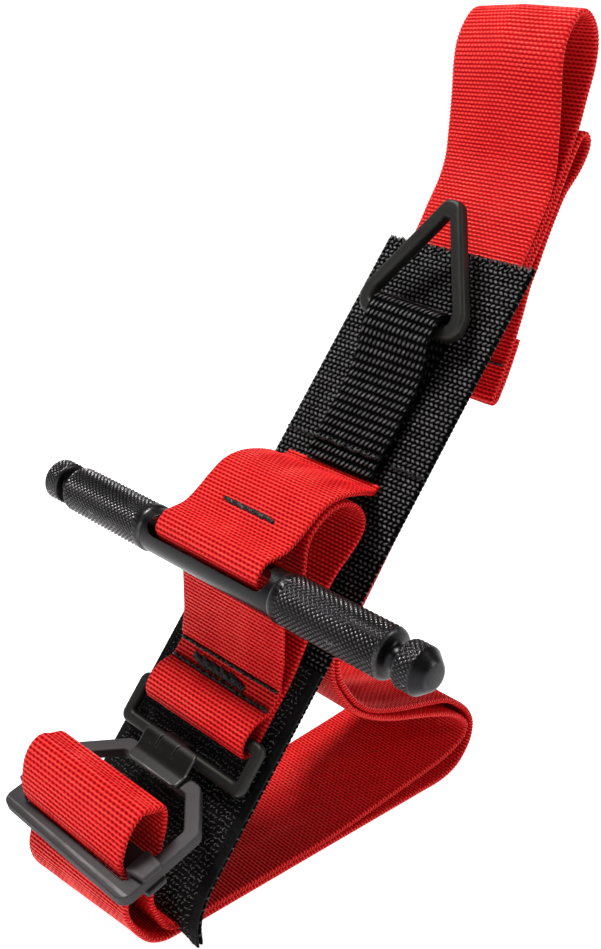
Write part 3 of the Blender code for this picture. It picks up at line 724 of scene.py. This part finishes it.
def scatter_loops(path, droop):
    """About two thousand small pile loops standing on the panel."""
    row, column = np.meshgrid(np.arange(0.8, lengths(path)[-1] / MM - 0.6, 1.35),
                              np.arange(-22.8, 22.8, 1.15), indexing="ij")
    count = row.size
    v = row.ravel() + rng.uniform(-0.25, 0.25, count)
    u = column.ravel() + rng.uniform(-0.25, 0.25, count) + 0.4 * (np.indices(row.shape)[0].ravel() % 2)
    base = np.column_stack([u * MM, sampled(path, v * MM)])
    base = droop(base[:, None, :], u[:, None], v[:, None])[:, 0]
    base += 0.40 * OUT
    turn = rng.normal(0.4, 0.7, count)
    wide = rng.uniform(0.22, 0.46, count)
    high = rng.uniform(0.28, 0.66, count)
    tilt = rng.uniform(-0.35, 0.35, (count, 2))
    arc_steps = np.linspace(0, np.pi, 6)
    along = np.cos(turn)[:, None] * ACROSS + np.sin(turn)[:, None] * UP
    lean = tilt[:, :1] * ACROSS + tilt[:, 1:] * UP
    path3 = (base[:, None, :] - (np.cos(arc_steps)[None, :] * wide[:, None])[..., None] * along[:, None, :]
             + (np.sin(arc_steps)[None, :] * high[:, None])[..., None] * (OUT + lean)[:, None, :])
    dress(tubes("pile_loops", path3, 0.125, LOOPS, 4), "root", "loop_pile")


def tubes(name, paths, radius, material, sides):
    """Many short tubes in one mesh, from an array of their paths in metres."""
    count, steps = paths.shape[:2]
    along = np.gradient(paths, axis=1)
    along /= np.linalg.norm(along, axis=2, keepdims=True)
    helper = np.where(np.abs(along[..., :1]) > 0.9, np.array([0, 1.0, 0]), np.array([1.0, 0, 0]))
    first = np.cross(along, helper)
    first /= np.linalg.norm(first, axis=2, keepdims=True)
    second = np.cross(along, first)
    angle = np.linspace(0, 2 * np.pi, sides, endpoint=False)
    ring = (first[:, :, None] * np.cos(angle)[:, None] + second[:, :, None] * np.sin(angle)[:, None])
    verts = paths[:, :, None] + ring * (radius * MM)
    starts = np.arange(count) * steps * sides
    faces = (starts[:, None, None] + ring_quads(steps, sides)).reshape(-1, 4).tolist()
    for start in starts.tolist():
        faces.append([start + m for m in reversed(range(sides))])
        faces.append([start + (steps - 1) * sides + m for m in range(sides)])
    return new_object(name, verts.reshape(-1, 3), faces, material)


def fray():
    """Loose fibres along the backing's cut top edge and its upper corners."""
    count = 260
    x = rng.uniform(-24.8, 24.8, count)
    edge = backing_at([(188.3, BACKING_Z)])[0]
    base = np.stack([x * MM, np.full(count, edge[0]), np.full(count, edge[1])], 1)
    base += rng.uniform(-0.7, 0.7, count)[:, None] * OUT
    reach = rng.uniform(0.4, 1.7, count)
    lean = rng.uniform(-0.9, 0.9, (count, 2))
    t = np.linspace(0, 1, 6)
    side = (lean[:, :1] * t ** 2)[..., None] * ACROSS
    out = (lean[:, 1:] * t ** 2)[..., None] * OUT
    rise = (reach[:, None] * (t - 0.25 * t ** 3))[..., None] * UP
    fibres = tubes("backing_fray", base[:, None, :] + side + out + rise, 0.075, LOOPS, 4)
    dress(fibres, "root", "black_webbing")


def build_holder():
    front = [(121.8, 1.9), (130, 1.9), (140, 1.9), (149.5, 2.4), (155.8, 4.6), (160.2, 7.0)]
    wrap = arc((165.4, 4.15), 3.8, 108, -84, 8)
    rear = [(158, 0.4), (145, 0.4), (125.3, 0.4)]
    path = smooth(backing_at(front + wrap + rear))

    def askew(grid, x, v):
        top = np.exp(-((v - 46) / 14) ** 2)
        return grid - (top * x / (HOLDER_WIDTH / 2) * 0.6)[..., None] * UP

    obj, = band("holder_weave", path, FINE_BLACK, holder_relief, width=HOLDER_WIDTH, thick=THIN_WEB,
                spacing=0.32, step=HOLDER_ROW / 10, wave=0.18, period=HOLDER_ROW, warp=askew)
    dress(obj, "root", "black_webbing", "ring_holder")
    return path


# -------- sewing

def frames_along(path, where, side, lift):
    """Base point, outward normal and along direction of a path near a world (y, z) place."""
    index = nearest(path, where)
    before, after = path[max(index - 2, 0)], path[min(index + 2, len(path) - 1)]
    along = np.array([0, *(after - before)])
    along /= np.linalg.norm(along)
    normal = np.array([0, -along[2], along[1]]) * side
    return np.array([0, *path[index]]) + normal * lift * MM, normal, along


def stitch_line(node, path, where, side, lift, half, stitch, radius, wave=0.0, x0=0.0, sag=0.55):
    """A row of separate lock stitches across a band, each one dipping in at its ends."""
    base, normal, along = frames_along(path, backing_at([where])[0], side, lift)
    count = max(2, round(2 * half / stitch))
    t = np.linspace(-1, 1, 9)
    arch = 1 - np.abs(t) ** 3
    height = arch * 0.42 - sag * (1 - arch)
    runs = []
    for i in range(count):
        a = -half + 2 * half * i / count + 0.12
        b = -half + 2 * half * (i + 1) / count - 0.12
        jitter = rng.uniform(-0.10, 0.10, 2)
        x = x0 + a + (b - a) * (t + 1) / 2
        slide = (wave if i % 2 else -wave) * t + jitter[0] + jitter[1] * t
        runs.append(base + x[:, None] * ACROSS + slide[:, None] * along * MM
                    + height[:, None] * normal * MM)
    dress(tubes(node + "_thread", np.array(runs), radius, THREAD, 8), "root", "black_thread", node)


def satin_tack(node, path, where, lift, x_from, x_to, width, radius=0.13, overlap=1.3, bend=None):
    """A bar tack of long slanting bundles of thread laid over one another."""
    base, normal, along = frames_along(path, backing_at([where])[0], -1, lift)
    runs = []
    t = np.linspace(0, 1, 9)
    bow = 0.62 * np.sin(np.pi * np.clip(t, 0.02, 0.98)) ** 0.5
    bundles, strands = 5, 9
    span = (x_to - x_from) / bundles
    for n in range(bundles):
        for off in np.linspace(-1, 1, strands) * width / 2:
            x0 = x_from + span * n - 0.5 + rng.uniform(-0.15, 0.15)
            x1 = x0 + span + overlap + rng.uniform(-0.2, 0.2)
            x = x0 + (x1 - x0) * t
            y = off + 0.85 * (t - 0.5) * width
            high = bow * (1 - (off / width * 1.5) ** 2) + 0.07 * (n % 2)
            runs.append(base + x[:, None] * ACROSS + y[:, None] * along * MM
                        + (high - 0.25)[:, None] * normal * MM)
    obj = tubes(node + "_thread", np.array(runs), radius, THREAD, 6)
    dress(obj, None if bend else "root", "black_thread", node)
    if bend:
        bend(obj)


def build_sewing(band_path, tail_path, holder_path):
    half = STRAP_WIDTH / 2 - 0.8
    on_band, on_strap = THIN_WEB / 2, WEB / 2
    for node, where in (("loop_stitch_lower", (58.0, 3.0)), ("loop_stitch_upper", (64.3, 3.0))):
        stitch_line(node, band_path, where, -1, on_band + 0.30, half, 2.7, 0.50, sag=0.35)
    satin_tack("loop_tack", band_path, (60.6, 2.8), on_band + 0.25, -11.5, 5.5, 1.5, radius=0.20, overlap=3.4)
    satin_tack("flap_tack", band_path, (100.0, 25.0), on_band + 0.10, -8.5, 9.0, 0.85, bend=bend_flap)
    stitch_line("hem_stitch", tail_path, (167.4, -18.0), -1, on_strap + 0.2, half, 2.6, 0.36)
    stitch_line("holder_stitch", holder_path, (127.5, 1.9), 1, on_band + 0.35, 11.4, 2.8, 0.42, wave=0.35)
    start, end = backing_at([(120, BACKING_Z), (135, BACKING_Z)])
    flat = np.stack([np.linspace(start[k], end[k], 60) for k in (0, 1)], 1)
    reach = 5.5
    for node, left in (("backing_stitch_left", -24.6), ("backing_stitch_right", 13.6)):
        stitch_line(node, flat, (127.5, BACKING_Z), 1, on_strap + 0.3, reach, 2.7, 0.40, wave=0.3,
                    x0=left + reach)


# -------- metal parts

def rounded(corners, radii, steps=10):
    """Closed outline through the corners, each one turned by an arc of its radius."""
    outline = []
    count = len(corners)
    for i in range(count):
        radius = radii[i] if isinstance(radii, list) else radii
        here = Vector(corners[i])
        back = (Vector(corners[i - 1]) - here).normalized()
        ahead = (Vector(corners[(i + 1) % count]) - here).normalized()
        half = back.angle(ahead) / 2
        centre = here + (back + ahead).normalized() * (radius / math.sin(half))
        first = here + back * (radius / math.tan(half)) - centre
        last = here + ahead * (radius / math.tan(half)) - centre
        turn = first.angle_signed(last)
        for step in range(steps + 1):
            outline.append(tuple(centre + Matrix.Rotation(-turn * step / steps, 2) @ first))
    return outline


def outset(outline, distance):
    moved = []
    for before, here, after in zip(outline[-1:] + outline[:-1], outline, outline[1:] + outline[:1]):
        first = (Vector(here) - Vector(before)).normalized()
        second = (Vector(after) - Vector(here)).normalized()
        along = (first + second).normalized()
        push = distance / max(along.dot(first), 0.5)
        moved.append((here[0] + along.y * push, here[1] - along.x * push))
    return moved


def face_outwards(mesh, weld=None):
    """Turns every face outwards, once points nearer than the weld distance are joined."""
    work = bmesh.new()
    work.from_mesh(mesh)
    if weld:
        bmesh.ops.remove_doubles(work, verts=work.verts, dist=weld)
    bmesh.ops.recalc_face_normals(work, faces=work.faces)
    work.to_mesh(mesh)
    work.free()


def plate(name, outlines, thick, edge, matrix, material, body, slot, nodes, detail=None, rings=5):
    """A plate of outlines in mm, its edges rounded, placed by a matrix in metres."""
    curve = bpy.data.curves.new(name, "CURVE")
    curve.dimensions = "2D"
    curve.fill_mode = "BOTH"
    curve.extrude = (thick / 2 - edge) * MM
    curve.bevel_depth = edge * MM
    curve.bevel_resolution = rings
    for number, outline in enumerate(outlines):
        face = outset(outline, edge) if number else outset(outline, -edge)[::-1]
        spline = curve.splines.new("POLY")
        spline.points.add(len(face) - 1)
        spline.use_cyclic_u = True
        for point, (x, y) in zip(spline.points, face):
            point.co = (x * MM, y * MM, 0, 1)
    source = add_object(name, curve)
    mesh = bpy.data.meshes.new_from_object(source.evaluated_get(bpy.context.evaluated_depsgraph_get()))
    bpy.data.objects.remove(source)
    face_outwards(mesh, weld=0.000004)
    mesh.name = name
    mesh.materials.clear()
    mesh.materials.append(material)
    if detail:
        detail(mesh)
    mesh.transform(matrix)
    mesh.shade_smooth()
    mesh.set_sharp_from_angle(angle=math.radians(40))
    return dress(add_object(name, mesh), body, slot, *nodes)


def stand(y, z, tilt=0.0, yaw=0.0, x=0.0):
    """Matrix of a place in the backing's frame, turned in it about x and z."""
    lean = Matrix.Translation((0, -FOOT_Y * MM, LIFT * MM)) @ Matrix.Rotation(LEAN, 4, "X")
    return lean @ Matrix.Translation((x * MM, y * MM, z * MM)) @ Matrix.Rotation(yaw, 4, "Z") @ \
        Matrix.Rotation(tilt, 4, "X")


def build_tri_ring():
    low, high, side, tip, shoulder = -2.0, 33.5, 18.0, 2.4, 5.5
    hole, hole_top, hole_tip = 13.8, 28.3, 0.9
    outer = [(-side, low), (side, low), (side, shoulder), (tip, high), (-tip, high), (-side, shoulder)]
    inner = [(-hole, -low), (hole, -low), (hole, shoulder), (hole_tip, hole_top), (-hole_tip, hole_top),
             (-hole, shoulder)]
    outlines = [rounded(outer, [4.8, 4.8, 6.0, 3.2, 3.2, 6.0]),
                rounded(inner, [1.0, 1.0, 2.0, 0.5, 0.5, 2.0], 6)]
    plate("tri_ring_cast", outlines, 4.3, 1.3, stand(165.0, 3.7, math.radians(12), math.radians(-3), -0.8),
          RING, "lock_ring", "ring_black", ["tri_ring"])


LINK_AT = (49.5, 3.8)       # the middle of its upper bar
LINK_PITCH = 10.9           # from its upper bar to its lower one
LINK_BAR = 1.65             # half a bar's width
BUCKLE_TILT = math.radians(-36.4)
FRAME_DEPTH = -0.7          # the frame's middle under the buckle's axis


def build_link_ring():
    side, hole, low = 23.9, 20.6, -LINK_PITCH - LINK_BAR
    outer = [(-side, low), (side, low), (side, LINK_BAR), (-side, LINK_BAR)]
    inner = [(-hole, low + 2 * LINK_BAR), (hole, low + 2 * LINK_BAR), (hole, -LINK_BAR), (-hole, -LINK_BAR)]
    outlines = [rounded(outer, 2.6), rounded(inner, 0.8, 6)]
    plate("link_ring_cast", outlines, 2.6, 1.1, stand(*LINK_AT), RING, "link", "ring_black", ["link_ring"])


def buckle_matrix(y=0.0):
    """Matrix of a place down the frame, in the buckle's own tilt."""
    tilted = stand(LINK_AT[0] - LINK_PITCH, LINK_AT[1], BUCKLE_TILT)
    return tilted @ Matrix.Translation((0, y * MM, FRAME_DEPTH * MM))


def build_frame():
    high, low, bar = -4.9, -38.9, 4.0
    outer = [(-25.2, low), (25.2, low), (24.8, high - 10), (13.7, high), (-13.7, high), (-24.8, high - 10)]
    inner = [(-21.2, low + bar), (21.2, low + bar), (20.8, high - 11.7), (12.2, high - bar),
             (-12.2, high - bar), (-20.8, high - 11.7)]
    outlines = [rounded(outer, 3.0), rounded(inner, 1.8, 8)]
    plate("buckle_frame_pressed", outlines, 3.0, 0.50, buckle_matrix(), STEEL, "buckle", "steel_grey",
          ["buckle_frame"])


def build_slider():
    web, tip = 19.4, 25.8
    bar, mouth, jaw = 1.0, 1.8, 3.3
    right = [(web, -bar), (web, -jaw), (tip, -jaw), (tip, -mouth), (web + 1.1, -mouth), (web + 1.1, mouth),
             (tip, mouth), (tip, jaw), (web, jaw), (web, bar)]
    left = [(-x, z) for x, z in reversed(right)]
    radii = [0.4, 0.7, 0.7, 0.6, 0.4, 0.4, 0.6, 0.7, 0.7, 0.4]
    outline = rounded(right + left, radii + radii[::-1], 6)
    matrix = buckle_matrix(-29.6) @ Matrix.Rotation(math.pi / 2, 4, "X")

    def round_tips(mesh):
        """Rounds the jaws' free corners, seen from above."""
        for vertex in mesh.vertices:
            past = (abs(vertex.co.x) / MM - web - 2.0) / (tip - web - 2.0)
            if past > 0:
                vertex.co.z *= math.sqrt(max(0.0, 1 - (0.72 * past) ** 2.6))

    plate("slider_bar_pressed", [outline], 6.8, 0.45, matrix, STEEL, "slider", "steel_grey", ["slider_bar"],
          round_tips)


def corner_arc(past, radius):
    """Half width left by a rounded corner, at a distance past its start."""
    return np.sqrt(np.clip(radius ** 2 - past ** 2, 0, None))


def build_hook():
    """The bent plate: notched along its upper edge, with a lip behind the link ring."""
    path = smooth(backing_at([(31.6, 10.8), (32.4, 10.3), (34.0, 9.3), (35.8, 8.9), (38.0, 8.9), (39.4, 8.7),
                              (40.4, 8.1), (41.0, 7.0), (41.0, 4.4), (40.8, 3.2)]), 8)
    s = lengths(path) / MM
    edge = s[nearest(path, backing_at([(40.6, 7.9)])[0])]
    rows = np.arange(0, s[-1], 0.25)
    yz = np.stack([np.interp(rows * MM, s * MM, path[:, k]) for k in (0, 1)], 1)
    wide, corner, foot, lip = 9.6, 1.6, 1.2, 4.0
    half = np.where(rows < edge - corner, wide,
                    wide - corner + corner_arc(np.clip(rows - edge + corner, 0, corner), corner))
    half = np.where(rows > edge, lip, half)
    half = np.where(rows < foot, half - foot + corner_arc(foot - np.clip(rows, 0, foot), foot), half)
    n = 121
    spread = np.linspace(-1, 1, n)
    grid = sheet(half[:, None] * spread[None, :], yz)
    normal = normals_of(grid)
    x = grid[..., 0] / MM
    v = np.repeat(rows[:, None], n, 1)
    notch = sum(np.exp(-((x - cx) / 0.22) ** 4 - ((v - edge + 2.6) / 1.5) ** 6) for cx in (-3.6, 2.9))
    rim = np.sqrt(1 - np.clip(1 - (half[:, None] * (1 - np.abs(spread[None, :]))) / 0.4, 0, 1) ** 2)
    rim = np.maximum(rim, 0.02)
    top = grid + normal * ((0.5 - 0.42 * notch) * rim)[..., None] * MM
    bottom = grid - normal * (0.5 * rim)[..., None] * MM
    ring = np.concatenate([top, bottom[:, ::-1]], 1)
    count = 2 * n
    faces = ring_quads(len(rows), count)[:, [0, 3, 2, 1]].tolist()
    last = (len(rows) - 1) * count
    for j in range(n - 1):
        faces.append((j, j + 1, count - 2 - j, count - 1 - j))
        faces.append((last + j, last + count - 1 - j, last + count - 2 - j, last + j + 1))
    obj = new_object("hook_plate_pressed", ring.reshape(-1, 3), faces, DARK_STEEL)
    face_outwards(obj.data)
    obj.data.set_sharp_from_angle(angle=math.radians(35))
    dress(obj, "buckle", "steel_grey", "hook_plate")


# -------- windlass

WINDLASS_AT = (85.3, 25.5)
WINDLASS_TILT = math.radians(-11.0)
GRIP, CORE, NECK, KNOB, HALF = 6.35, 5.9, 3.0, 5.8, 69.85


def turned(profile, knurls, starts=30, samples=8, stretch=1.12):
    """A turned bar's grid: radius along x, with diamond knurls between the given ends."""
    turns = starts * samples
    pitch = 2 * np.pi * GRIP / starts * stretch
    x_keys, r_keys = np.array([p[0] for p in profile]), np.array([p[1] for p in profile])
    stations = []
    for a, b in zip(x_keys, x_keys[1:]):
        knurled = any(low <= (a + b) / 2 <= high for low, high, _ in knurls)
        pace = pitch / samples if knurled else 0.8
        stations.extend(np.linspace(a, b, max(1, round((b - a) / pace)), endpoint=False))
    stations = np.array(stations + [x_keys[-1]])
    radius = np.interp(stations, x_keys, r_keys)
    angle = np.linspace(0, 2 * np.pi, turns, endpoint=False)
    grid_r = np.repeat(radius[:, None], turns, 1)
    across = starts * angle[None, :] / (2 * np.pi)
    along = stations[:, None] / pitch
    for low, high, depth in knurls:
        groove = np.minimum(*(np.abs(((across + sign * along) % 1) * 2 - 1) for sign in (1, -1)))
        pyramid = np.clip(groove / 0.85, 0, 1) ** 0.8
        fade = np.clip(np.minimum(stations - low, high - stations) / 0.5, 0, 1)[:, None]
        grid_r = grid_r - depth * (1 - pyramid) * fade
    x = np.repeat(stations[:, None], turns, 1)
    return np.dstack([x, grid_r * np.cos(angle), grid_r * np.sin(angle)]) * MM


def lathe(name, grid, material, matrix):
    rows, turns = grid.shape[:2]
    faces = ring_quads(rows, turns).tolist()
    faces.append(list(range(turns))[::-1])
    faces.append([(rows - 1) * turns + n for n in range(turns)])
    obj = new_object(name, grid.reshape(-1, 3), faces, material)
    face_outwards(obj.data)
    obj.data.transform(matrix)
    obj.data.set_sharp_from_angle(angle=math.radians(38))
    return obj


def build_windlass():
    matrix = stand(*WINDLASS_AT, WINDLASS_TILT)
    side = [(23.9, CORE), (24.3, CORE + 0.30), (24.8, GRIP), (25.6, GRIP), (26.6, GRIP),
            (56.6, GRIP), (57.1, GRIP - 0.12), (57.6, GRIP - 0.45), (57.9, GRIP - 0.95), (58.25, NECK + 0.9),
            (58.55, NECK + 0.35), (59.0, NECK), (61.0, NECK), (61.5, NECK + 0.45), (61.75, KNOB - 0.75),
            (62.0, KNOB - 0.25), (62.5, KNOB), (66.3, KNOB), (66.7, KNOB - 0.15), (67.1, KNOB - 0.45),
            (69.3, 3.6), (69.7, 3.1), (HALF, 2.4)]
    knurls = ((26.4, 57.2, 0.34), (62.2, 66.6, 0.28))       # from, to and depth
    for name, sign in (("grip_right", 1), ("grip_left", -1)):
        grid = turned(side, knurls)
        grid[..., 0] *= sign
        dress(lathe(name, grid, GUN, matrix), "windlass", "gunmetal")
    xs = np.linspace(-24.2, 24.2, 120)[:, None]
    angle = np.linspace(0, 2 * np.pi, 96, endpoint=False)[None, :]
    core = np.dstack(np.broadcast_arrays(xs, CORE * np.cos(angle), CORE * np.sin(angle))) * MM
    obj = lathe("windlass_core", core, GUN, Matrix.Identity(4))
    half_x, half_y = 22.0, 3.15
    corners = [(-half_x, -half_y), (half_x, -half_y), (half_x, half_y), (-half_x, half_y)]
    cutter = plate("core_slot", [rounded(corners, half_y * 0.98, 14)], 20, 0.0, Matrix.Identity(4), GUN, None,
                   "gunmetal", [], rings=0)
    cut_by = obj.modifiers.new("slot", "BOOLEAN")
    cut_by.operation = "DIFFERENCE"
    cut_by.object = cutter
    bevel = obj.modifiers.new("rim", "BEVEL")
    bevel.width = 0.00035
    bevel.segments = 3
    bevel.limit_method = "ANGLE"
    bevel.angle_limit = math.radians(40)
    evaluated = obj.evaluated_get(bpy.context.evaluated_depsgraph_get())
    mesh = bpy.data.meshes.new_from_object(evaluated)
    obj.modifiers.clear()
    obj.data = mesh
    bpy.data.objects.remove(cutter)
    mesh.transform(matrix)
    mesh.shade_smooth()
    mesh.set_sharp_from_angle(angle=math.radians(38))
    dress(obj, "windlass", "gunmetal", "windlass_bar")


# -------- scene

def main():
    build_top_loop()
    build_strap()
    tail_path = build_tail()
    band_path = build_windlass_band()
    build_backing()
    build_panel()
    fray()
    holder_path = build_holder()
    build_sewing(band_path, tail_path, holder_path)
    build_tri_ring()
    build_link_ring()
    build_frame()
    build_slider()
    build_hook()
    build_windlass()
    add_camera()
    add_studio()


main()
